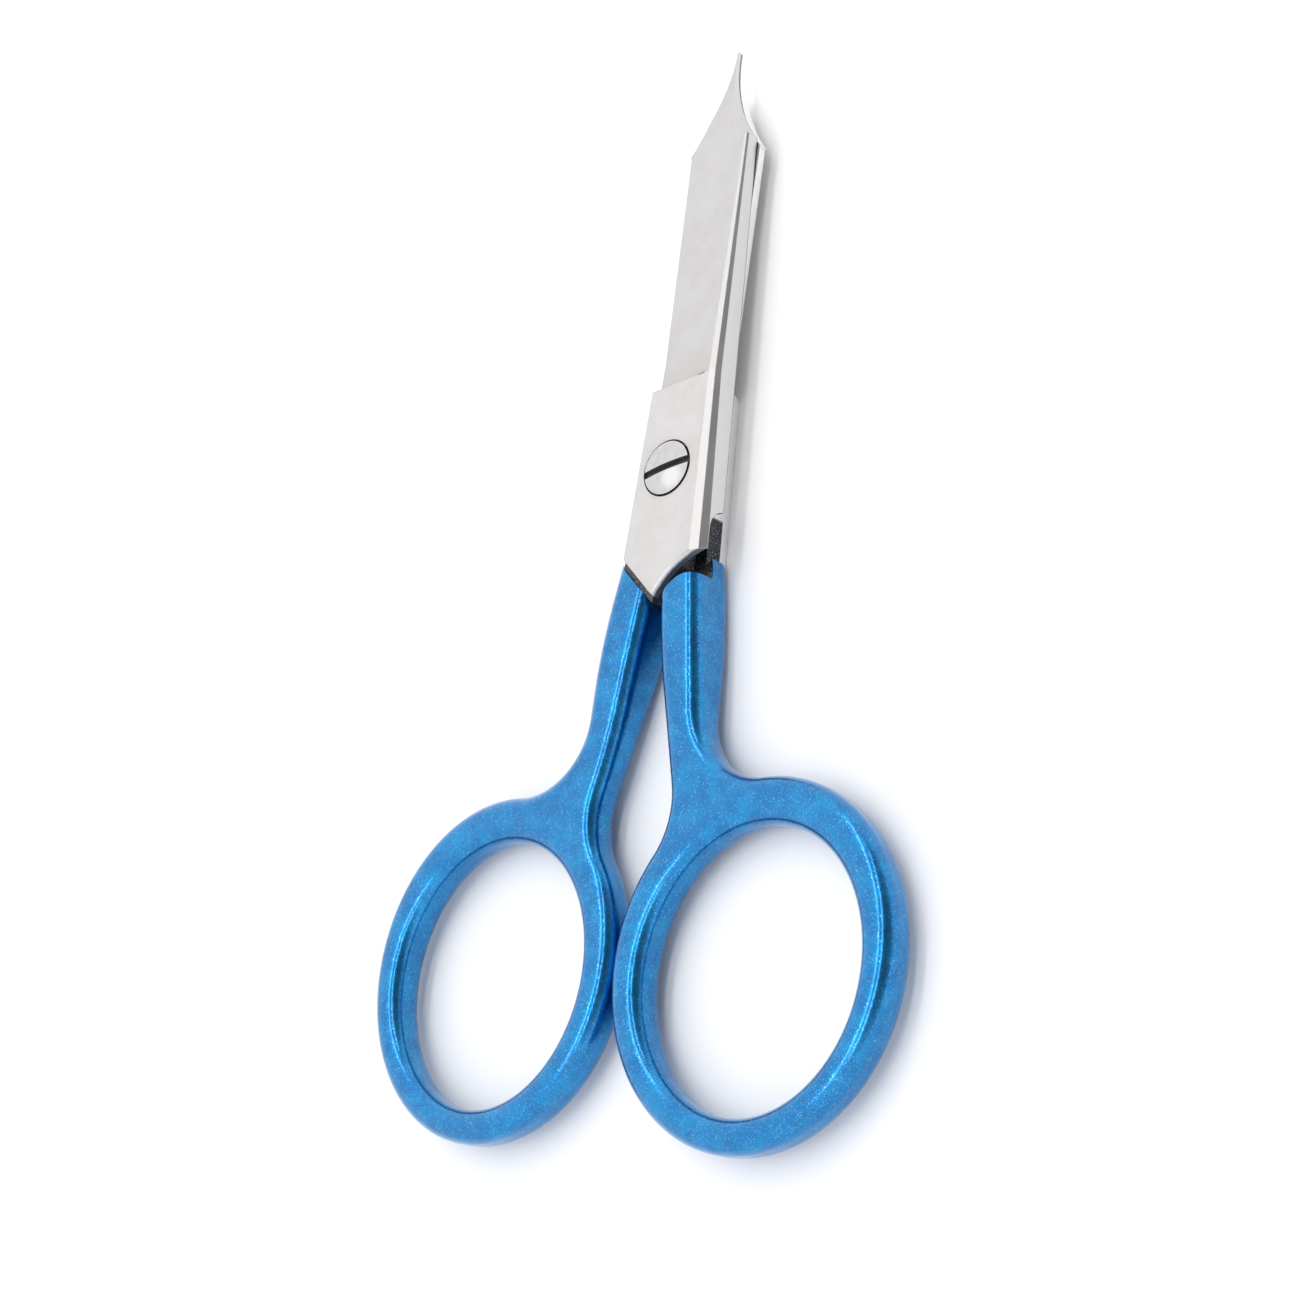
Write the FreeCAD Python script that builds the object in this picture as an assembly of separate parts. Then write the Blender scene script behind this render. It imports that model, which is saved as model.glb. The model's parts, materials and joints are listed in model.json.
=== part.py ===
"""Small two-ring embroidery scissors with needle tips, lying closed on their back.

Two forged halves of one pattern face each other across the interface plane. The rear
half is the front half turned half a turn about the long axis. A slotted screw passes
through the front half with running clearance and is threaded into the rear half. Each
half is coated with enamel over its shank and bow.

Millimetres. The origin is on the screw's axis at the back face of the rear plate, +Y
runs to the tips, +X to the right hand bow and +Z up from the table.
"""
import FreeCAD, Part
import math
import os

V = FreeCAD.Vector
Z_AXIS = V(0, 0, 1)
Y_AXIS = V(0, 1, 0)

# Plate: the polished pivot block of each half.
plate_thickness = 2.9
plate_end_y = 9.9            # where the blade is ground down, on its spine side
notch_y = 8.7                # and on its edge side
plate_corner_y = -8.9        # lower corner on the spine side
spine_x_at_plate_end = 5.0
spine_x_at_plate_corner = 5.9
edge_x_at_plate_end = -3.3
edge_x_at_leg = -4.2         # where the paint line leaves the plate's side
leg_y = -9.9
point_x = 0.0                # lowest point of the V
point_y = -13.9
leg_arc_sag = 0.9            # hollow of the V's polished leg
interface_gap = 0.06         # daylight between the two halves
point_edge_round = 0.45      # polished edge along the V's free leg
paint_groove_width = 0.6
paint_groove_depth = 0.35
relief_height = 1.9          # underside of the tang, ground away
relief_y = -4.6
relief_x = 2.8
relief_corner = 2.2

# Blade: ground wedge with a bevelled spine and a needle tip.
grind_run = 0.75             # length of the ramp from the plate down to the blade's edge
shoulder_spine_y = 36.9      # where the needle tip begins, on each side
shoulder_edge_y = 36.1
shoulder_spine_x = 3.8
shoulder_edge_x = -4.2
tip_y = 47.9
tip_half_width = 0.1
tip_waist_share = 0.42       # how far along the needle tip its waist lies
tip_waist_half_width = 1.05
edge_height_at_plate = 1.55
edge_height_at_shoulder = 1.2
spine_height_at_shoulder = 1.6
tip_height = 0.45
edge_bevel = 0.25            # sideways run of the sharpening bevel
spine_bevel_at_corner = 1.6
spine_bevel_at_plate_end = 1.1
spine_bevel_at_shoulder = 0.4
bevel_ridge_share = 0.4      # the bevel has two facets: this share of its run is the lower one
upper_facet_slope = 0.364    # each facet's drop for each unit of its run
lower_facet_slope = 1.0
ramp_rise = 0.1              # the ramp begins this much later on the spine side

# Handle: shank and finger bow.
hole_half_width = 12.35
hole_half_length = 13.2
band_outer = 3.6             # bow's width in plan on its outside, inside, top and bottom
band_inner = 3.9
band_top = 4.5
band_bottom = 3.3
bow_gap = 0.1                # between the two bows when closed
bow_top_y = -32.0
bow_thickness = 4.1
rim_round = 1.6
enamel_thickness = 0.15
shank_reach = 6.0            # how far the shank runs down into the bow
shank_outer = [(-4.9, -9.0), (-6.65, -20.0), (-7.6, bow_top_y - shank_reach)]
shank_inner = [(-0.65, -13.0), (-2.65, -25.0), (-6.0, bow_top_y - shank_reach)]
crotch_outer_round = 8.0
crotch_inner_round = 8.0
shoulder_top_y = -11.4       # the handle's square shoulder beside the other plate
shoulder_round = 4.4
taper_start_y = -14.0        # the shank thins from the plate stack to the bow
taper_end_y = -32.0

# Pivot screw.
screw_head_radius = 2.8
screw_head_height = 1.4
head_stands_proud = 0.1      # of the plate's face, before its dome
screw_dome = 0.22
screw_shank_radius = 1.6
screw_slot_width = 0.75
screw_slot_depth = 0.6
screw_slot_angle = 11.0
head_clearance = 0.2
head_seat_gap = 0.03
running_clearance = 0.05

LONG = 200.0                 # tools that only have to reach past the part

tip_waist_y = shoulder_spine_y + tip_waist_share * (tip_y - shoulder_spine_y)

# The finger hole hangs from the bow's top and side, and the bow's outer oval follows from it.
hole_centre = (-(bow_gap / 2 + band_inner + hole_half_width),
               bow_top_y - band_top - hole_half_length)
bow_half_width = hole_half_width + (band_outer + band_inner) / 2
bow_half_length = hole_half_length + (band_top + band_bottom) / 2
bow_centre = (hole_centre[0] + (band_inner - band_outer) / 2,
              hole_centre[1] + (band_top - band_bottom) / 2)
narrowest_band = min(band_outer, band_inner, band_top, band_bottom, bow_thickness)
rim_radius = min(rim_round, 0.49 * narrowest_band)


def pt(x, y, z=0.0):
    return V(x, y, z)


def arc_through(points):
    first, middle, last = [pt(*p) for p in points]
    return Part.Arc(first, middle, last).toShape()


def parallel_arc(points, shift, inside):
    """The arc through three points, moved by shift towards the side that inside is on."""
    first, middle, last = [pt(*p) for p in points]
    circle = Part.Circle(first, middle, last)
    if pt(*inside).distanceToPoint(circle.Center) > circle.Radius:
        shift = -shift
    scale = (circle.Radius - shift) / circle.Radius
    moved = [circle.Center + (p - circle.Center) * scale for p in (first, middle, last)]
    return Part.Arc(*moved).toShape()


def joined(edges):
    """A closed wire from edges in order, with straight lines across any break."""
    path = []
    for edge, following in zip(edges, edges[1:] + edges[:1]):
        path.append(edge)
        end = edge.valueAt(edge.LastParameter)
        start = following.valueAt(following.FirstParameter)
        if end.distanceToPoint(start) > 1e-6:
            path.append(Part.makeLine(end, start))
    return Part.Wire(path)


def slab(wire, low, high):
    """The plan outline as a solid between two heights."""
    face = Part.Face(wire)
    face.translate(V(0, 0, low))
    return face.extrude(V(0, 0, high - low))


def polygon(points):
    return Part.makePolygon([pt(*p) for p in points] + [pt(*points[0])])


def oval(centre, half_width, half_length, low, high):
    """An upright oval cylinder, its seam at the end away from the plate."""
    x, y = centre
    end = pt(x, y - half_length)
    side = pt(x + half_width, y)
    if half_length >= half_width:
        ellipse = Part.Ellipse(end, side, pt(x, y))
    else:
        ellipse = Part.Ellipse(side, end, pt(x, y))
    return slab(Part.Wire([ellipse.toShape()]), low, high)


# %% Handle


def thickness_profile(inset):
    """Side view of the handle: full stack thickness at the plate, thinner at the bow."""
    thick = plate_thickness - inset
    thin = bow_thickness / 2 - inset
    middle_y = (taper_start_y + taper_end_y) / 2
    middle_z = (thick + thin) / 2
    half_run = (taper_start_y - taper_end_y) / 2
    half_drop = (thick - thin) / 2
    radius = (half_run ** 2 + half_drop ** 2) / (2 * half_drop)
    quarter = half_run / 2
    dip = radius - math.sqrt(radius ** 2 - quarter ** 2)

    def side(sign):
        start = V(-LONG / 2, taper_start_y, sign * thick)
        through = V(-LONG / 2, taper_start_y - quarter, sign * (thick - dip))
        half_way = V(-LONG / 2, middle_y, sign * middle_z)
        beyond = V(-LONG / 2, taper_end_y + quarter, sign * (thin + dip))
        finish = V(-LONG / 2, taper_end_y, sign * thin)
        return start, through, half_way, beyond, finish

    edges = []
    top = side(1)
    low = side(-1)
    near = V(-LONG / 2, 0, thick)
    far = V(-LONG / 2, -LONG / 2, thin)
    edges.append(Part.makeLine(near, top[0]))
    edges.append(Part.Arc(top[0], top[1], top[2]).toShape())
    edges.append(Part.Arc(top[2], top[3], top[4]).toShape())
    edges.append(Part.makeLine(top[4], far))
    edges.append(Part.makeLine(far, V(far.x, far.y, -thin)))
    edges.append(Part.makeLine(V(far.x, far.y, -thin), low[4]))
    edges.append(Part.Arc(low[4], low[3], low[2]).toShape())
    edges.append(Part.Arc(low[2], low[1], low[0]).toShape())
    edges.append(Part.makeLine(low[0], V(near.x, near.y, -thick)))
    edges.append(Part.makeLine(V(near.x, near.y, -thick), near))
    return Part.Face(Part.Wire(edges)).extrude(V(LONG, 0, 0))


def upright_edges(shape, y_low, y_high):
    """Edges along Z whose place in plan lies between two distances along Y."""
    found = []
    for edge in shape.Edges:
        a, b = edge.firstVertex().Point, edge.lastVertex().Point
        upright = abs(a.x - b.x) < 1e-6 and abs(a.y - b.y) < 1e-6
        if upright and y_low < a.y < y_high:
            found.append(edge)
    return found


def handle_blank(inset):
    """Shank and bow with rounded rims, drawn in from the enamel's outside by inset."""
    between = [(a + b) / 2 for a, b in zip(shank_outer[1], shank_inner[1])]
    outer_side = parallel_arc(shank_outer, inset, between)
    inner_side = parallel_arc(shank_inner[::-1], inset, between)
    shank = slab(joined([outer_side, inner_side]), -plate_thickness, plate_thickness)
    bow = oval(bow_centre, bow_half_width - inset, bow_half_length - inset,
               -plate_thickness, plate_thickness)
    body = shank.fuse(bow).removeSplitter()
    crotches = upright_edges(body, bow_centre[1], shank_outer[1][1])
    for edge in crotches:
        on_outside = edge.firstVertex().Point.x < shank_outer[2][0] + 1.0
        radius = crotch_outer_round if on_outside else crotch_inner_round
        body = body.makeFillet(radius + inset, [edge_like(body, edge)])
    body = body.cut(oval(hole_centre, hole_half_width + inset, hole_half_length + inset,
                         -LONG, LONG))
    body = body.common(thickness_profile(inset))
    rims = [edge for edge in body.Edges if is_rim(edge)]
    return body.makeFillet(rim_radius - inset, rims)


def edge_like(shape, wanted):
    """The edge of shape that has the same middle as the wanted one."""
    middle = wanted.CenterOfMass
    return min(shape.Edges, key=lambda edge: edge.CenterOfMass.distanceToPoint(middle))


def is_rim(edge):
    """Edges round the front and back faces, leaving out the uprights and the top end."""
    a, b = edge.firstVertex().Point, edge.lastVertex().Point
    upright = abs(a.x - b.x) < 1e-6 and abs(a.y - b.y) < 1e-6 and edge.Length > 1e-3
    closed = edge.isClosed()
    top_end = min(a.y, b.y) > shank_inner[0][1] - 0.5
    across = abs(a.y - b.y) < 1e-6 and abs(a.z - b.z) < 1e-6 and not closed
    return (closed or not upright) and not top_end and not across


# %% The half's outline at its upper end


def beside_leg(past, width, low, high):
    """A strip beside the V's painted leg, on the plate's side, running past both its ends."""
    start = pt(edge_x_at_leg, leg_y)
    finish = pt(point_x, point_y)
    along = (finish - start).normalize()
    across = V(-along.y, along.x, 0) * width
    a = start - along * past
    b = finish + along * past
    return slab(polygon([(p.x, p.y) for p in (a, b, b + across, a + across)]), low, high)


def shoulder_cutter(inset):
    """Above the handle's shoulder on the side of the interface that has no plate."""
    top = shoulder_top_y - inset
    radius = shoulder_round - inset
    corner_x = shank_inner[0][0] - inset
    quarter = radius * math.sqrt(0.5)
    edges = [
        Part.makeLine(pt(-LONG, top), pt(corner_x - radius, top)),
        Part.Arc(pt(corner_x - radius, top),
                 pt(corner_x - radius + quarter, top - radius + quarter),
                 pt(corner_x, top - radius)).toShape(),
        Part.makeLine(pt(corner_x, top - radius), pt(LONG, top - radius)),
        Part.makeLine(pt(LONG, top - radius), pt(LONG, LONG)),
        Part.makeLine(pt(LONG, LONG), pt(-LONG, LONG)),
        Part.makeLine(pt(-LONG, LONG), pt(-LONG, top)),
    ]
    return slab(Part.Wire(edges), -LONG, interface_gap / 2)


def handle(inset):
    """The handle trimmed at the paint line in front and at its shoulder behind."""
    blank = handle_blank(inset)
    front = beside_leg(LONG, LONG, interface_gap / 2, LONG)
    return blank.cut(front).cut(shoulder_cutter(inset))


def plate():
    """The polished pivot block, from the V up to the shoulder of the blade."""
    low = interface_gap / 2
    point = pt(point_x, point_y)
    corner = pt(spine_x_at_plate_corner, plate_corner_y)
    middle = (point + corner) * 0.5
    along = (corner - point).normalize()
    hollow = middle + V(-along.y, along.x, 0) * leg_arc_sag
    edges = [
        Part.Arc(point, hollow, corner).toShape(),
        Part.makeLine(corner, pt(spine_x_at_plate_end, plate_end_y)),
        Part.makeLine(pt(spine_x_at_plate_end, plate_end_y), pt(edge_x_at_plate_end, notch_y)),
        Part.makeLine(pt(edge_x_at_plate_end, notch_y), pt(edge_x_at_leg, leg_y)),
        Part.makeLine(pt(edge_x_at_leg, leg_y), point),
    ]
    block = slab(Part.Wire(edges), low, plate_thickness)
    free_leg = [e for e in block.Edges if e.firstVertex().Point.z > low
                and isinstance(e.Curve, Part.Circle)]
    block = block.makeFillet(point_edge_round, free_leg)
    return block.cut(plate_bevel()).cut(tang_relief()).cut(paint_groove())


def bevel_points(spine_x, top, run):
    """Where the spine bevel starts, its ridge and its foot, each as its x and height."""
    lower_run = run * bevel_ridge_share
    ridge_z = top - (run - lower_run) * upper_facet_slope
    return ((spine_x - run, top), (spine_x - lower_run, ridge_z),
            (spine_x, ridge_z - lower_run * lower_facet_slope))


def plate_bevel():
    """Tool that bevels the plate's front edge on the spine side, a little past each end."""
    span = plate_end_y - plate_corner_y
    per_y = (spine_x_at_plate_end - spine_x_at_plate_corner) / span
    run_per_y = (spine_bevel_at_plate_end - spine_bevel_at_corner) / span

    def section(y):
        x = spine_x_at_plate_corner + per_y * (y - plate_corner_y)
        run = spine_bevel_at_corner + run_per_y * (y - plate_corner_y)
        start, ridge, foot = bevel_points(x, plate_thickness, run)
        below = V(foot[0] + run, 0, foot[1] - run * lower_facet_slope)
        return Part.makePolygon([V(start[0], y, start[1]), V(ridge[0], y, ridge[1]),
                                 V(below.x, y, below.z), V(below.x, y, LONG),
                                 V(start[0], y, LONG), V(start[0], y, start[1])])

    return Part.makeLoft([section(plate_corner_y - 2), section(plate_end_y + 0.01)], True, True)


def tang_relief():
    """Hollow ground under the tang's corner, its end rounded off."""
    depth = relief_height
    box = Part.makeBox(LONG, LONG, LONG + depth, pt(relief_x, relief_y - LONG, -LONG))
    edge = [e for e in box.Edges if abs(e.CenterOfMass.z - depth) < 1e-6
            and abs(e.CenterOfMass.y - relief_y) < 1e-6]
    return box.makeFillet(relief_corner, edge)


def paint_groove():
    """The rough groove along the paint line, cut into the plate's face."""
    return beside_leg(LONG, paint_groove_width, plate_thickness - paint_groove_depth, LONG)


# %% Blade


def wedge_section(spine, edge, run, bevel):
    """The blade across its length: flat back, bevelled spine, sharpened edge.

    spine and edge are each a point whose height is the blade's there. The cut runs
    straight from one to the other in plan.
    """
    low = interface_gap / 2
    per_x = (spine.y - edge.y) / (spine.x - edge.x)

    def at(x, z):
        return V(x, spine.y + per_x * (x - spine.x), z)

    start, ridge, foot = bevel_points(spine.x, spine.z, run)
    corners = [at(spine.x, low), at(*foot), at(*ridge), at(*start),
               at(edge.x + bevel, edge.z), at(edge.x, low)]
    return Part.makePolygon(corners + [corners[0]])


def blade():
    plate_end = wedge_section(V(spine_x_at_plate_end, plate_end_y, plate_thickness),
                              V(edge_x_at_plate_end, notch_y, plate_thickness),
                              spine_bevel_at_plate_end, 0.0)
    start = wedge_section(V(spine_x_at_plate_end, plate_end_y + ramp_rise, plate_thickness),
                          V(edge_x_at_plate_end - edge_bevel, notch_y + grind_run,
                            edge_height_at_plate),
                          spine_bevel_at_plate_end, edge_bevel)
    finish = wedge_section(V(shoulder_spine_x, shoulder_spine_y, spine_height_at_shoulder),
                           V(shoulder_edge_x, shoulder_edge_y, edge_height_at_shoulder),
                           spine_bevel_at_shoulder, edge_bevel)
    ramp = Part.makeLoft([plate_end, start], True, True)
    body = Part.makeLoft([start, finish], True, True)
    return ramp.fuse(body).fuse(needle_tip())


def needle_tip():
    """The last stretch, hollowed in from both sides to a fine point."""
    low = interface_gap / 2
    spine_side = arc_through([(shoulder_spine_x, shoulder_spine_y),
                              (tip_waist_half_width, tip_waist_y), (tip_half_width, tip_y)])
    edge_side = arc_through([(-tip_half_width, tip_y), (-tip_waist_half_width, tip_waist_y),
                             (shoulder_edge_x, shoulder_edge_y)])
    prism = slab(joined([spine_side, edge_side]), low, plate_thickness)
    start_y = min(shoulder_edge_y, shoulder_spine_y)
    corners = [V(-LONG / 2, start_y, low), V(-LONG / 2, start_y, spine_height_at_shoulder),
               V(-LONG / 2, shoulder_spine_y, spine_height_at_shoulder),
               V(-LONG / 2, tip_y, tip_height), V(-LONG / 2, tip_y, low)]
    ramp = Part.Face(Part.makePolygon(corners + [corners[0]])).extrude(V(LONG, 0, 0))
    return prism.common(ramp).common(edge_slope())


def edge_slope():
    """Carries the blade's slope from spine to edge on into the tip."""
    face_edge = shoulder_spine_x - spine_bevel_at_shoulder
    run = face_edge - (shoulder_edge_x + edge_bevel)
    slope = (spine_height_at_shoulder - edge_height_at_shoulder) / run
    reach = 2 * run
    corners = [V(face_edge - reach, 0, spine_height_at_shoulder - slope * reach),
               V(face_edge, 0, spine_height_at_shoulder),
               V(face_edge + reach, 0, spine_height_at_shoulder),
               V(face_edge + reach, 0, -reach), V(face_edge - reach, 0, -reach)]
    return Part.Face(Part.makePolygon(corners + [corners[0]])).extrude(V(0, LONG, 0))


# %% The pieces


def forging():
    """One bare half, before its screw hole: blade, plate, shank and bow in one piece."""
    whole = plate().fuse(blade()).fuse(handle(enamel_thickness))
    return whole.removeSplitter()


def enamel():
    return handle(0.0).cut(handle(enamel_thickness)).removeSplitter()


def turned(shape):
    """The same piece facing the other way, half a turn about the long axis."""
    copy = shape.copy()
    copy.rotate(V(0, 0, 0), Y_AXIS, 180)
    return copy


def front_half(half):
    """Bored for the screw to turn in, with a seat for its head."""
    seat = plate_thickness + head_stands_proud - screw_head_height - head_seat_gap
    bore = Part.makeCylinder(screw_shank_radius + running_clearance, LONG, pt(0, 0, -LONG / 2))
    recess = Part.makeCylinder(screw_head_radius + head_clearance, LONG, pt(0, 0, seat))
    return half.cut(bore).cut(recess)


def rear_half(half):
    """Tapped for the screw, which is stood in for by a plain hole of its size."""
    tapped = Part.makeCylinder(screw_shank_radius, LONG, pt(0, 0, -LONG / 2))
    return turned(half).cut(tapped)


def pivot_screw():
    """Slotted screw with a low domed head, its end dressed flush with the rear plate."""
    rim = plate_thickness + head_stands_proud
    under_head = rim - screw_head_height
    shank = Part.makeCylinder(screw_shank_radius, under_head + plate_thickness,
                              pt(0, 0, -plate_thickness))
    head = Part.makeCylinder(screw_head_radius, screw_head_height, pt(0, 0, under_head))
    ball = (screw_head_radius ** 2 + screw_dome ** 2) / (2 * screw_dome)
    top = rim + screw_dome
    cap = Part.makeCylinder(screw_head_radius, screw_dome, pt(0, 0, rim))
    cap = cap.common(Part.makeSphere(ball, pt(0, 0, top - ball)))
    slot = Part.makeBox(LONG, screw_slot_width, LONG,
                        pt(-LONG / 2, -screw_slot_width / 2, top - screw_slot_depth))
    slot.rotate(V(0, 0, 0), Z_AXIS, screw_slot_angle)
    return shank.fuse(head).fuse(cap).cut(slot).removeSplitter()


def build():
    half = forging()
    coat = enamel()
    pieces = {
        "front_half": front_half(half),
        "front_handle_enamel": coat,
        "rear_half": rear_half(half),
        "rear_handle_enamel": turned(coat),
        "pivot_screw": pivot_screw(),
    }
    os.makedirs("parts", exist_ok=True)
    for name, shape in pieces.items():
        placed = shape.copy()
        placed.translate(V(0, 0, plate_thickness))
        print(name, len(placed.Solids), "solid", round(placed.Volume, 1), "mm3",
              "valid" if placed.isValid() else "NOT VALID")
        solid = placed.Solids[0] if len(placed.Solids) == 1 else placed
        solid.exportStep("parts/" + name + ".step")


build()
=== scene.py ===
# %% [markdown]
# # Embroidery scissors in polished steel and blue enamel
#
# These are small needlework scissors: two steel forgings, one screw, and a coat of
# glittering blue enamel over the shanks and the finger rings, which makers call bows. The
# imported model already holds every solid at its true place, so this lesson is about finish,
# light and view. The first lines load that model. Nothing in it is moved or reshaped.

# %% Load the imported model
import json

import bpy
from mathutils import Matrix, Vector


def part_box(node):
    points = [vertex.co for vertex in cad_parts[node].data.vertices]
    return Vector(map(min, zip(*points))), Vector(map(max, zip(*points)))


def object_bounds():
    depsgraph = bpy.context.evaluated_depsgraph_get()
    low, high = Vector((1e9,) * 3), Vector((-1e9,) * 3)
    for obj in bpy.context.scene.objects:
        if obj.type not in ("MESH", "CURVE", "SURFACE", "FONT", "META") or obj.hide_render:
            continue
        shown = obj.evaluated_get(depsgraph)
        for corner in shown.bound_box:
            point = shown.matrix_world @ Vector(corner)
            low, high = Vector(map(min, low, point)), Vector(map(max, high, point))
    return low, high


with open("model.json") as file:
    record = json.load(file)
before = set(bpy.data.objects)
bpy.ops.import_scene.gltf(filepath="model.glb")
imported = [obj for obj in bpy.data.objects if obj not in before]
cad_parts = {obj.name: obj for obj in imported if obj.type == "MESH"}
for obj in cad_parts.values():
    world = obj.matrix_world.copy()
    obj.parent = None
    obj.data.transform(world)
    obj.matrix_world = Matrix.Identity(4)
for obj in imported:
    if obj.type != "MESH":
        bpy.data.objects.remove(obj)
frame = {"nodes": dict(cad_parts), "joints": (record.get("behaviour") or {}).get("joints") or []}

cad_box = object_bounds()
print("pieces:", sorted(frame["nodes"]))
print("box in mm:", [[round(v * 1000, 1) for v in corner] for corner in cad_box])

# %% [markdown]
# ## Where things are
#
# The two halves are the same forging facing opposite ways, so a finish written for the
# front half also suits the rear half once left and right, and front and back, change
# places. The joint plane lies between the two plates, and the screw's axis stands on the
# origin, so every mark on a half is measured from those two.

# %% The joint plane, in metres
MM = 0.001
joint_plane = frame["joints"][0]["pos_m"][2]
plate_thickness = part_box("front_half")[1].z - joint_plane
print("joint plane at", round(joint_plane / MM, 2), "mm, plate", round(plate_thickness / MM, 2))

# %% [markdown]
# ## Sums with nodes
#
# A finish is a sum: a base colour, plus a speckle, minus a stain. Written as nodes and
# links, such a sum takes a screenful. A small class holds one socket and turns plain
# Python arithmetic on it into Math nodes, so that `1 - mask` reads as it should.
# Colours and directions have three numbers and go through Mix and Vector Math nodes,
# which blend(), vector() and dot() add. Every node, in a finish or in the room light,
# comes from the one method node().


# %% A socket that can be added, taken away and multiplied
class Signal:
    """The output of a shader node. Arithmetic on it adds the Math nodes for the sum."""

    def __init__(self, nodes, socket):
        self.nodes = nodes
        self.socket = socket

    def sum(self, operation, first, second):
        return self.nodes.node("ShaderNodeMath", {"operation": operation}, {0: first, 1: second})

    def __add__(self, other):
        return self.sum("ADD", self, other)

    def __radd__(self, other):
        return self.sum("ADD", other, self)

    def __sub__(self, other):
        return self.sum("SUBTRACT", self, other)

    def __rsub__(self, other):
        return self.sum("SUBTRACT", other, self)

    def __mul__(self, other):
        return self.sum("MULTIPLY", self, other)

    def __rmul__(self, other):
        return self.sum("MULTIPLY", other, self)

    def step(self, low, high):
        """0 below low, 1 above high, and smooth between them. low may be the larger."""
        settings = {"interpolation_type": "SMOOTHSTEP"}
        if low < high:
            return self.nodes.node("ShaderNodeMapRange", settings,
                                   {"Value": self, "From Min": low, "From Max": high})
        return 1 - self.step(high, low)

    def band(self, start, end):
        """1 from start to end. Each is the low and high of the step there."""
        return self.step(*start) * self.step(*end)


print("sums ready")


# %% The nodes of a material or of the room light
class Nodes:
    """node() adds any node; set() gives the shader at the end its values and links."""

    def __init__(self, owner, shader):
        owner.use_nodes = True
        self.owner = owner
        self.tree = owner.node_tree
        self.shader = self.tree.nodes[shader]

    def connect(self, socket, value):
        if isinstance(value, Signal):
            self.tree.links.new(value.socket, socket)
        else:
            socket.default_value = value

    def node(self, kind, settings=None, inputs=None, output=0):
        """Adds a node: first its settings, then the values or links of its sockets."""
        made = self.tree.nodes.new(kind)
        for name, value in (settings or {}).items():
            if name == "stops":
                self.fill_ramp(made.color_ramp.elements, value)
            else:
                setattr(made, name, value)
        for name, value in (inputs or {}).items():
            self.connect(made.inputs[name], value)
        return Signal(self, made.outputs[output])

    def fill_ramp(self, elements, stops):
        """Stops go in from left to right, so the ramp is in order at every moment."""
        for number, (position, colour) in enumerate(stops):
            if number >= len(elements):
                elements.new(position)
            elements[number].position = position
            elements[number].color = colour

    def blend(self, amount, first, second):
        """A colour that goes from first to second as amount goes from 0 to 1."""
        return self.node("ShaderNodeMix", {"data_type": "RGBA"},
                         {0: amount, 6: first, 7: second}, output=2)

    def vector(self, operation, first, second):
        return self.node("ShaderNodeVectorMath", {"operation": operation}, {0: first, 1: second})

    def dot(self, first, second):
        return self.node("ShaderNodeVectorMath", {"operation": "DOT_PRODUCT"},
                         {0: first, 1: second}, output="Value")

    def noise(self, where, size, detail, roughness):
        """Cloudy noise whose blobs are about size metres across."""
        return self.node("ShaderNodeTexNoise", {"noise_dimensions": "3D"},
                         {"Vector": where, "Scale": 1 / size, "Detail": detail,
                          "Roughness": roughness})

    def cells(self, where, size):
        """A random colour for each of many small cells, about size metres apart."""
        return self.node("ShaderNodeTexVoronoi", {"feature": "F1"},
                         {"Vector": where, "Scale": 1 / size}, "Color")

    def part_of(self, colour, channel):
        return self.node("ShaderNodeSeparateColor", {}, {0: colour}, channel)

    def axis(self, vector, name):
        return self.node("ShaderNodeSeparateXYZ", {}, {0: vector}, name)

    def place(self, kind="Object"):
        return self.node("ShaderNodeTexCoord", {}, {}, kind)

    def bump(self, height, strength, distance, normal=None):
        """The normal of a surface with this relief, on top of another normal if given."""
        inputs = {"Height": height, "Strength": strength, "Distance": distance}
        if normal is not None:
            inputs["Normal"] = normal
        return self.node("ShaderNodeBump", {}, inputs)

    def set(self, **values):
        for name, value in values.items():
            self.connect(self.shader.inputs[name.replace("_", " ")], value)
        return self.owner


def finish(name):
    return Nodes(bpy.data.materials.new(name), "Principled BSDF")


print("node helpers ready")

# %% [markdown]
# ## The camera
#
# The view stands to the right of the bows and above them, and looks across the scissors
# and down at about 44 degrees, so that they lean across a square frame. A camera in
# Blender looks along its own -Z with +Y up. Its three axes could be set as angles, but
# they are easier to correct as the direction that it looks in and the one that is up.

# %% Camera
camera_place = Vector((0.1539, -0.0864, 0.1663))
camera_forward = Vector((-0.6600, 0.2910, -0.6930)).normalized()
rough_up = Vector((0.103, 0.948, 0.300))
sensor_width, focal_length = 36, 67.0
nearest_seen = 0.01

camera_right = camera_forward.cross(rough_up).normalized()
camera_up = camera_right.cross(camera_forward)
camera_data = bpy.data.cameras.new("view")
camera_data.sensor_width = sensor_width
camera_data.lens = focal_length
camera_data.clip_start = nearest_seen
camera = bpy.data.objects.new("view", camera_data)
bpy.context.scene.collection.objects.link(camera)
turn = Matrix((camera_right, camera_up, -camera_forward)).transposed()
camera.matrix_world = Matrix.Translation(camera_place) @ turn.to_4x4()
bpy.context.scene.camera = camera
screw_place = Vector((0, 0, joint_plane))
print("camera", round((camera_place - screw_place).length / MM), "mm from the screw")

# %% [markdown]
# ## Floor and light
#
# Metal shows whatever stands round it. A pale room on the left gives the flat faces an
# even light grey. One dark patch high on the right draws the dark flank that makes each
# bow look round. Two long narrow lamps overhead leave the bright lines along the shanks.
# The room could be built from cards and screens, but a gradient round the whole world is
# simpler to correct.

# %% Floor
floor_reach = 3.0
floor_gap = 0.02 * MM
paper_white = (0.93, 0.93, 0.935, 1)
paper_roughness, paper_gloss = 0.9, 0.1

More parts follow.
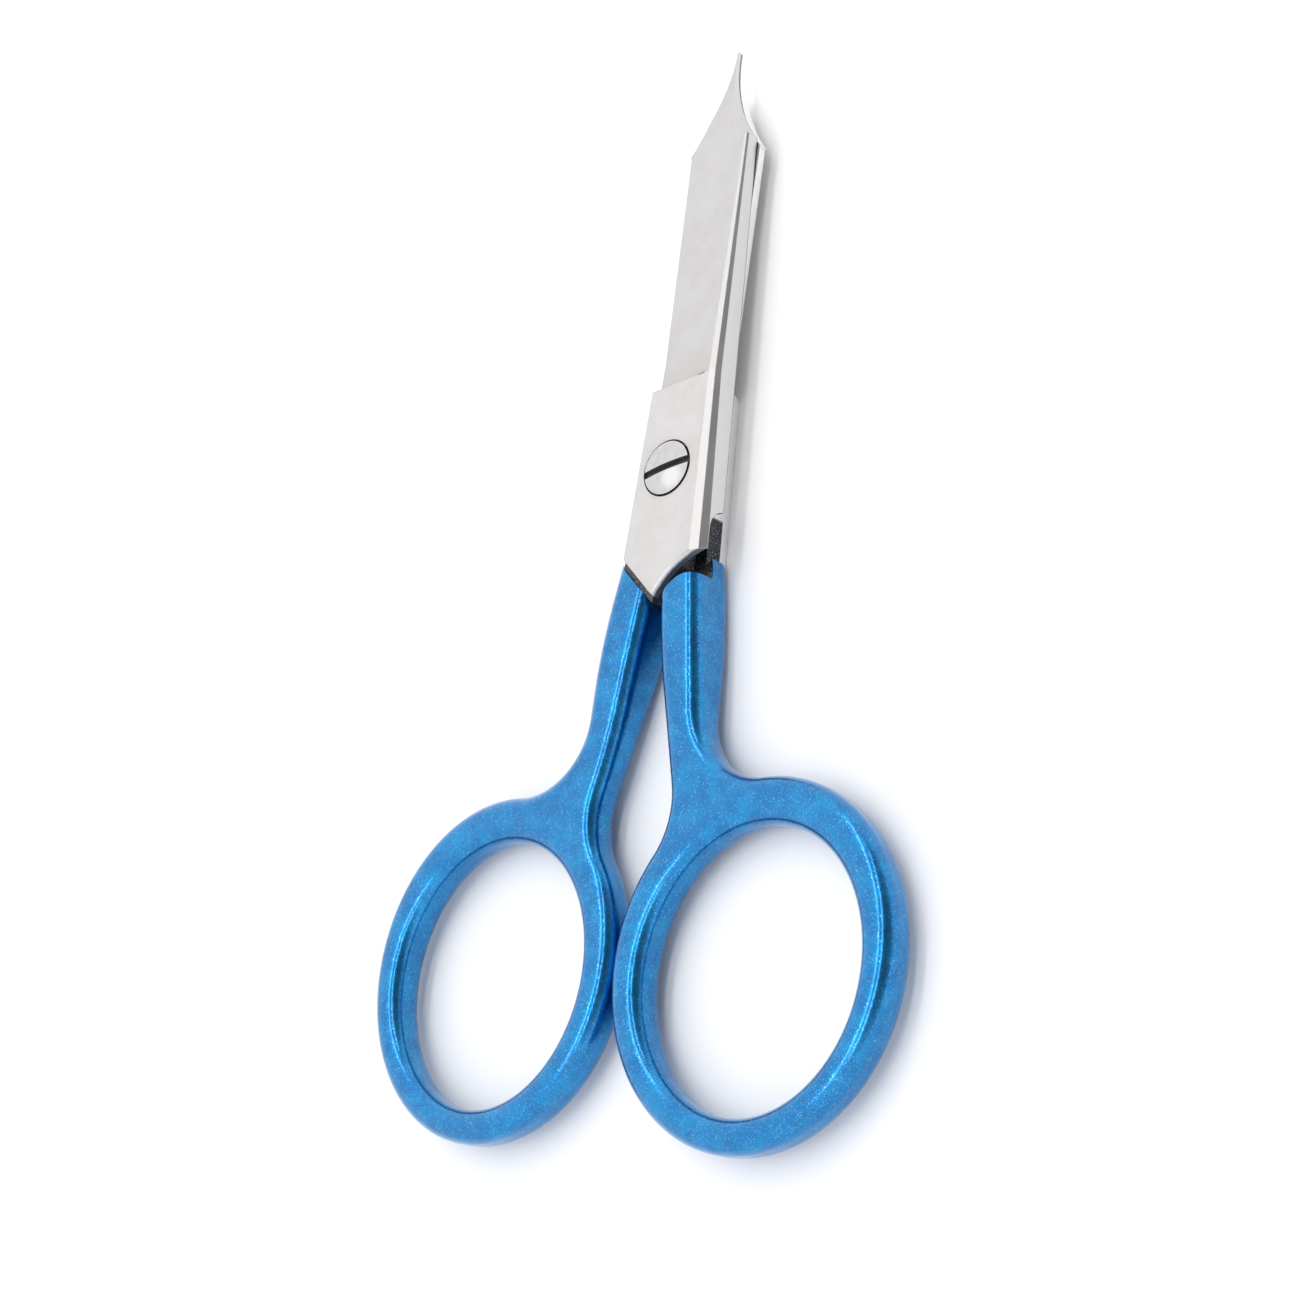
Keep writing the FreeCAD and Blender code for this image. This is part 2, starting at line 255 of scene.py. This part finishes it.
floor_mesh = bpy.data.meshes.new("floor")
floor_mesh.from_pydata([(-floor_reach, -floor_reach, 0), (floor_reach, -floor_reach, 0),
                        (floor_reach, floor_reach, 0), (-floor_reach, floor_reach, 0)],
                       [], [(0, 1, 2, 3)])
floor = bpy.data.objects.new("floor", floor_mesh)
floor.location.z = cad_box[0].z - floor_gap
bpy.context.scene.collection.objects.link(floor)
floor_mesh.materials.append(finish("pale_paper").set(
    Base_Color=paper_white, Roughness=paper_roughness, Specular_IOR_Level=paper_gloss))
print("floor", round(floor.location.z / MM, 3), "mm")

# %% Room light, darkest high on the right
dark_side = Vector((0.62, 0.29, 0.73)).normalized()
room_levels = [(0.0, 0.85), (0.40, 1.00), (0.70, 1.04), (0.83, 1.12), (0.92, 0.34), (1.0, 0.12)]
coolness = 0.985
room_strength = 1.25

room = Nodes(bpy.data.worlds.new("room"), "Background")
bpy.context.scene.world = room.owner
toward_dark = room.dot(room.place("Generated"), dark_side) * 0.5 + 0.5
stops = [(position, (level * coolness, level * coolness, level, 1))
         for position, level in room_levels]
room.set(Color=room.node("ShaderNodeValToRGB", {"stops": stops}, {"Fac": toward_dark}),
         Strength=room_strength)
print("room light:", len(stops), "stops, dimmest", min(level for _, level in room_levels))

# %% Lamps
lamp_distance = 0.6
lamp_width, lamp_length = 0.055, 0.85
lamp_power = 0.80


def lamp(name, direction):
    """A long flat lamp, lengthways along the scissors, that faces the screw."""
    data = bpy.data.lights.new(name, "AREA")
    data.shape = "RECTANGLE"
    data.size = lamp_width
    data.size_y = lamp_length
    data.energy = lamp_power
    made = bpy.data.objects.new(name, data)
    bpy.context.scene.collection.objects.link(made)
    toward = Vector(direction).normalized()
    up = toward.cross(Vector((1, 0, 0))).normalized()
    axes = Matrix((up.cross(toward), up, toward)).transposed()
    made.matrix_world = Matrix.Translation(toward * lamp_distance) @ axes.to_4x4()


lamp("overhead_left", (-0.06, 0.17, 0.95))
lamp("overhead_right", (0.32, 0.17, 0.95))

# %% [markdown]
# ## Blue enamel
#
# The enamel is a clear blue lacquer over silver flakes. Under the lacquer the flakes act
# as a rough coloured metal, and each one leans its own way, so some catch a lamp that
# their neighbours miss. The lacquer above them is smooth, and gives the sharp highlights.
# The flakes could be painted dots, but random cells need no unwrapping and don't repeat.
# They lean the normal of the metal and light a few flakes. A slightly finer set adds dust
# between them, and the clear coat keeps the true normal of the surface.

# %% Enamel colours and sizes
flake_size, dust_size, enamel_cloud = 0.09 * MM, 0.08 * MM, 2.2 * MM
flake_lean = 0.08
middle = (0.5, 0.5, 0.5)
bright_flakes, dusty_cells, cloudy = (0.88, 0.97), (0.55, 1.0), (0.35, 0.7)
dust_amount, bright_amount = 0.18, 0.32
flake_metal, flake_roughness, bright_polish = 0.9, 0.23, 0.06
lacquer_weight, lacquer_roughness, lacquer_index = 0.55, 0.035, 1.5
deep_blue, pale_blue = (0.000, 0.148, 0.412, 1), (0.000, 0.222, 0.520, 1)
dust_blue, flake_white = (0.015, 0.390, 0.700, 1), (0.320, 0.620, 0.800, 1)
print("flakes", round(flake_size / MM, 2), "mm across")


# %% Enamel
def enamel_finish(side):
    f = finish("blue_enamel_" + side)
    place = f.place()
    flake = f.cells(place, flake_size)
    lean = f.vector("MULTIPLY", f.vector("SUBTRACT", flake, middle), (flake_lean,) * 3)
    surface = f.node("ShaderNodeNewGeometry", {}, {}, "Normal")
    normal = f.node("ShaderNodeVectorMath", {"operation": "NORMALIZE"},
                    {0: f.vector("ADD", surface, lean)})
    bright = f.part_of(flake, "Red").step(*bright_flakes)
    dust = f.part_of(f.cells(place, dust_size), "Green").step(*dusty_cells)
    cloud = f.noise(place, enamel_cloud, 4.0, 0.6).step(*cloudy)
    colour = f.blend(cloud, deep_blue, pale_blue)
    colour = f.blend(dust * dust_amount, colour, dust_blue)
    colour = f.blend(bright * bright_amount, colour, flake_white)
    return f.set(Base_Color=colour, Metallic=flake_metal,
                 Roughness=flake_roughness - bright_polish * bright, Normal=normal,
                 Coat_Weight=lacquer_weight, Coat_Roughness=lacquer_roughness,
                 Coat_IOR=lacquer_index)


def give_finish(node, material):
    materials = frame["nodes"][node].data.materials
    materials.clear()
    materials.append(material)


for side in ("front", "rear"):
    give_finish(side + "_handle_enamel", enamel_finish(side))
print("enamel on both handles")

# %% [markdown]
# ## Where the steel changes
#
# The plates and blades are polished steel, but not evenly. The groove along the paint and
# the inside of the tang are dark and rough, as a forging is where nobody polishes it, and
# the inside of the tang lies in a deep slot, so its dark is partly painted shade. Past the
# line where the grinding stops, the blade is painted a little darker than the plate, as
# shade for its face, which lies at another angle. Along that line runs a thin dark line of
# painted shade, with a small pit on it, and a warm brownish cloud is laid just past it.
# Each of these places is a mask, a number from 0 to 1, worked out from the position on the
# half, so one recipe serves both halves.
# It could be painted by hand on an unwrapped surface, but numbers are easier to correct.
# They are the plate's own sizes, typed in, so they change when those do.

# %% Position on a half, seen as if it were the front half
facing = {"front": 1, "rear": -1}


def on_half(f, side):
    """Position from the screw's axis and the joint plane."""
    here = f.vector("SUBTRACT", f.place(), (0, 0, joint_plane))
    return f.vector("MULTIPLY", here, (facing[side], 1, facing[side]))


def distance_in_plan(f, vector):
    flat = f.vector("MULTIPLY", vector, (1, 1, 0))
    return f.node("ShaderNodeVectorMath", {"operation": "LENGTH"}, {0: flat}, "Value")


print("heights are measured from z =", round(joint_plane / MM, 2), "mm")

# %% The groove where the paint stops, along one leg of the V that ends the plate
leg_start, leg_end = Vector((-4.2, -9.9, 0)) * MM, Vector((0.0, -13.9, 0)) * MM
leg_along = (leg_end - leg_start).normalized()
leg_across = Vector((-leg_along.y, leg_along.x, 0))
groove_width = 0.6 * MM
groove_near = (-0.25 * MM, 0.0)
groove_far = (groove_width + 0.05 * MM, groove_width - 0.02 * MM)
groove_floor = (1.6 * MM, 1.8 * MM)
groove_top = (plate_thickness - 0.03 * MM, plate_thickness - 0.12 * MM)


def groove_mask(f, here):
    """The walls and floor of the groove, but not the polished face above it."""
    from_leg = f.dot(f.vector("SUBTRACT", here, leg_start), leg_across)
    return from_leg.band(groove_near, groove_far) * f.axis(here, "Z").band(groove_floor, groove_top)


print("groove", round(groove_width / MM, 2), "mm wide")

# %% The inside of the tang
# The inside of the tang is not polished, and lies in a deep slot: its dark colour is partly painted
# shade.
plate_corner_y, spine_x_at_corner, spine_lean = -8.9 * MM, 5.9 * MM, -0.048
relief_y, relief_height = -4.6 * MM, 1.9 * MM
inside_roof = (relief_height + 0.06 * MM, relief_height)
inside_start = (relief_y + 0.2 * MM, relief_y - 0.2 * MM)
inside_end = (-20 * MM, -19 * MM)
wall_edge = (0.03 * MM, 0.08 * MM)


def inside_mask(f, here):
    """The tang's joint face and its relief, but not the outer wall along the spine."""
    x, y, z = (f.axis(here, name) for name in "XYZ")
    from_wall = spine_x_at_corner + (y - plate_corner_y) * spine_lean - x
    return z.step(*inside_roof) * y.band(inside_end, inside_start) * from_wall.step(*wall_edge)


print("relief", round(relief_height / MM, 2), "mm high")

# %% The ground shoulder
grind_start, grind_end = Vector((-3.3, 8.7, 0)) * MM, Vector((5.0, 9.9, 0)) * MM
grind_along = (grind_end - grind_start).normalized()
grind_across = Vector((-grind_along.y, grind_along.x, 0))
# Where the painted shade on the blade begins, just past the grind line.
ground_edge = (0.0, 0.2 * MM)
# A warm brownish cloud just past the grind line, on the flats.
warm_tint_near, warm_tint_far, warm_tint_cloud = (0.0, 0.15 * MM), (4.0 * MM, 0.3 * MM), (0.25, 0.6)
# A thin line of painted shade along the step where the grinding stops, with a small pit.
step_shade_near, step_shade_far = (-0.12 * MM, 0.0), (0.16 * MM, 0.04 * MM)
pit_near, pit_far = (-0.20 * MM, -0.05 * MM), (0.25 * MM, 0.10 * MM)
pit_left, pit_right = (5.7 * MM, 6.2 * MM), (6.9 * MM, 6.6 * MM)
step_shade_amount, pit_amount = 0.15, 0.60


def shoulder_masks(f, here, cloud, flat):
    """Painted shade on the blade, warm tint, shaded line and pit. flat is 1 off the facets."""
    from_start = f.vector("SUBTRACT", here, grind_start)
    past, along = f.dot(from_start, grind_across), f.dot(from_start, grind_along)
    # A warm brownish cloud on the flats just past the grind line.
    warm_tint = past.band(warm_tint_near, warm_tint_far) * cloud.step(*warm_tint_cloud) * flat
    # A thin line of painted shade along the step.
    step_shade = past.band(step_shade_near, step_shade_far) * flat
    pit = along.band(pit_left, pit_right) * past.band(pit_near, pit_far)
    return past.step(*ground_edge), warm_tint, step_shade * step_shade_amount + pit * pit_amount


print("grind line", round((grind_end - grind_start).length / MM, 1), "mm long")

# %% [markdown]
# ## Polished steel
#
# The masks come together in one finish. Colours are laid one over another, and roughness
# is a plain sum. Two more masks come from the way a face points: facets lean, and sides
# stand upright, and both are duller than the flats. Their tones are painted light, found by
# trial in this light: the facets get painted shade, and the sides a painted reflection,
# lighter on the rear half than on the front, so they are not a measure of the steel. Fine
# lines from the wheel go into a bump, and a Bevel node under it softens the shading of each
# edge over a tenth of a millimetre, with no change to the mesh.

# %% Steel colours and sizes
screw_head_radius = 2.8 * MM
steel_cloud, line_size, speck_size = 3.0 * MM, 0.10 * MM, 0.12 * MM
line_stretch = (0.06, 1.0, 0.3)
edge_round, edge_samples = 0.10 * MM, 6
relief_strength, relief_depth, line_depth = 0.25, 0.02 * MM, 0.25
leaning, standing, slightly_leaning = (0.97, 0.90), (0.30, 0.10), (0.6, 0.8)
seam_height = (0.16 * MM, 0.05 * MM)
cloudy_steel, specked = (0.3, 0.7), (0.45, 0.7)
halo_edge = (screw_head_radius + 0.9 * MM, screw_head_radius + 0.1 * MM)
warm_steel, pale_steel = (0.575, 0.562, 0.548, 1), (0.615, 0.604, 0.592, 1)
halo_brown, warm_tint_brown = (0.49, 0.43, 0.40, 1), (0.46, 0.40, 0.36, 1)
# Greys of painted shade: one for the blade past the grind line, one for the facets.
blade_shade_grey, facet_shade_grey = (0.30, 0.30, 0.31, 1), (0.22, 0.22, 0.22, 1)
# Near black for the line of painted shade along the step and for the pit, and for the seam.
step_shade_and_pit_black, seam_black = (0.16, 0.15, 0.14, 1), (0.06, 0.06, 0.065, 1)
# Dark greys for steel that is not polished; in the tang this dark is partly painted shade.
scale_and_shade_black, scale_and_shade_grey = (0.035, 0.037, 0.042, 1), (0.30, 0.31, 0.33, 1)
# Painted reflection on the upright sides, a lighter grey on the rear half than on the front.
painted_side_reflection = {"front": 0.64, "rear": 0.88}
halo_amount, blade_shade_amount, warm_tint_amount, seam_amount = 0.25, 0.14, 0.35, 0.75
# Amounts of painted shade on the facets, more on those that lean only a little.
facet_shade_amount, upper_facet_shade_amount = 0.15, 0.30
polish, cloud_dull, facet_dull, side_dull, scale_dull = 0.13, 0.08, 0.17, 0.10, 0.25
print("edges softened over", round(edge_round / MM, 2), "mm")


# %% Steel
def steel_finish(side):
    f = finish("polished_steel_" + side)
    here = on_half(f, side)
    cloud = f.noise(here, steel_cloud, 4.0, 0.55)
    speck = f.noise(here, speck_size, 3.0, 0.7)
    lines = f.noise(f.vector("MULTIPLY", here, line_stretch), line_size, 3.0, 0.6)

    rise = f.axis(f.node("ShaderNodeNewGeometry", {}, {}, "True Normal"), "Z")
    level = rise * rise
    facet, upright = level.step(*leaning), level.step(*standing)
    upper_facet = facet * level.step(*slightly_leaning)
    # A dark line painted on the upright sides along the joint, partly grime and partly painted
    # shade.
    seam = upright * f.axis(here, "Z").step(*seam_height)
    halo = distance_in_plan(f, here).step(*halo_edge)
    ground, warm_tint, step_shade_and_pit = shoulder_masks(f, here, cloud, 1 - facet)
    # Places that are not polished: the groove, and the inside of the tang, whose dark is partly
    # painted shade.
    unpolished_and_shade = groove_mask(f, here) + inside_mask(f, here)

    colour = f.blend(cloud.step(*cloudy_steel), warm_steel, pale_steel)
    for amount, tone in (
            (halo * halo_amount, halo_brown),
            # Painted shade on the blade past the grind line.
            (ground * blade_shade_amount, blade_shade_grey),
            (warm_tint * warm_tint_amount, warm_tint_brown),
            # The line of painted shade along the step, and the pit.
            (step_shade_and_pit, step_shade_and_pit_black),
            # Painted shade on the facets.
            (facet * facet_shade_amount + upper_facet * upper_facet_shade_amount, facet_shade_grey),
            # Painted reflection on the upright sides, its grey set for each half.
            (upright, (painted_side_reflection[side],) * 3 + (1,)),
            # A dark seam along the joint, partly grime and partly painted shade.
            (seam * seam_amount, seam_black),
            # Dark rough steel; in the tang its dark is partly painted shade.
            (unpolished_and_shade, f.blend(speck.step(*specked), scale_and_shade_black, scale_and_shade_grey))):
        colour = f.blend(amount, colour, tone)

    height = lines * (1 - unpolished_and_shade) * line_depth + speck * unpolished_and_shade
    soft_edges = f.node("ShaderNodeBevel", {"samples": edge_samples}, {"Radius": edge_round})
    rough = (polish + cloud * cloud_dull + facet * facet_dull + upright * side_dull
             + unpolished_and_shade * scale_dull)
    return f.set(Base_Color=colour, Metallic=1.0, Roughness=rough,
                 Normal=f.bump(height, relief_strength, relief_depth, soft_edges))


for side in facing:
    give_finish(side + "_half", steel_finish(side))
print("steel on both halves")

# %% [markdown]
# ## The screw
#
# The screw has a low dome, a little cloudier than the plate, and its slot is painted almost
# black. A higher dome would catch a spot of light by itself. This one is nearly flat, so one
# patch of it is a painted highlight, a lighter grey. The patch is part of the steel and stays
# on it, where a real spot of light would move, and it runs right through: it is placed in
# plan only, so it also shows on the screw's end at the back, where nothing real would put
# it. That end is flush with the back, and the slot's dark colour does not reach it.

# %% Screw colours and sizes
# The centre of a painted highlight on the dome.
painted_highlight_centre = Vector((0.9, -1.1, 0)) * MM
patch_edge = (1.7 * MM, 0.5 * MM)
slot_depth = (plate_thickness - 0.10 * MM, plate_thickness - 0.30 * MM)
slot_floor = (-1.5 * MM, 0.0)
screw_cloud, dent_size, dent_strength, dent_depth = 0.8 * MM, 0.5 * MM, 0.25, 0.05 * MM
painted_highlight_amount = 0.9
screw_polish, screw_cloud_dull, slot_dull = 0.14, 0.12, 0.4
dull_steel, bright_steel = (0.44, 0.435, 0.43, 1), (0.64, 0.635, 0.63, 1)
# A lighter grey for the painted highlight, and near black for the slot.
painted_highlight_grey, slot_black = (0.74, 0.74, 0.74, 1), (0.06, 0.055, 0.055, 1)
print("light patch", round(painted_highlight_centre.length / MM, 1), "mm from the screw's axis")


# %% Screw
def screw_finish():
    f = finish("screw_steel")
    here = on_half(f, "front")
    # The slot is painted almost black and made rougher.
    slot_dark = f.axis(here, "Z").band(slot_floor, slot_depth)
    # A painted highlight: a lighter grey patch, placed in plan, so it runs through the screw.
    patch = distance_in_plan(f, f.vector("SUBTRACT", here, painted_highlight_centre)).step(*patch_edge)
    cloud = f.noise(here, screw_cloud, 4.0, 0.6)
    dents = f.noise(here, dent_size, 3.0, 0.6)
    colour = f.blend(cloud, dull_steel, bright_steel)
    colour = f.blend(patch * painted_highlight_amount, colour, painted_highlight_grey)
    colour = f.blend(slot_dark, colour, slot_black)
    return f.set(Base_Color=colour, Metallic=1.0,
                 Roughness=screw_polish + cloud * screw_cloud_dull + slot_dark * slot_dull,
                 Normal=f.bump(dents, dent_strength, dent_depth))


give_finish("pivot_screw", screw_finish())
print("screw finished")

# %% [markdown]
# ## Colour management
#
# The standard view keeps the pale paper white.

# %% View transform and the end
bpy.context.scene.view_settings.view_transform = "Standard"
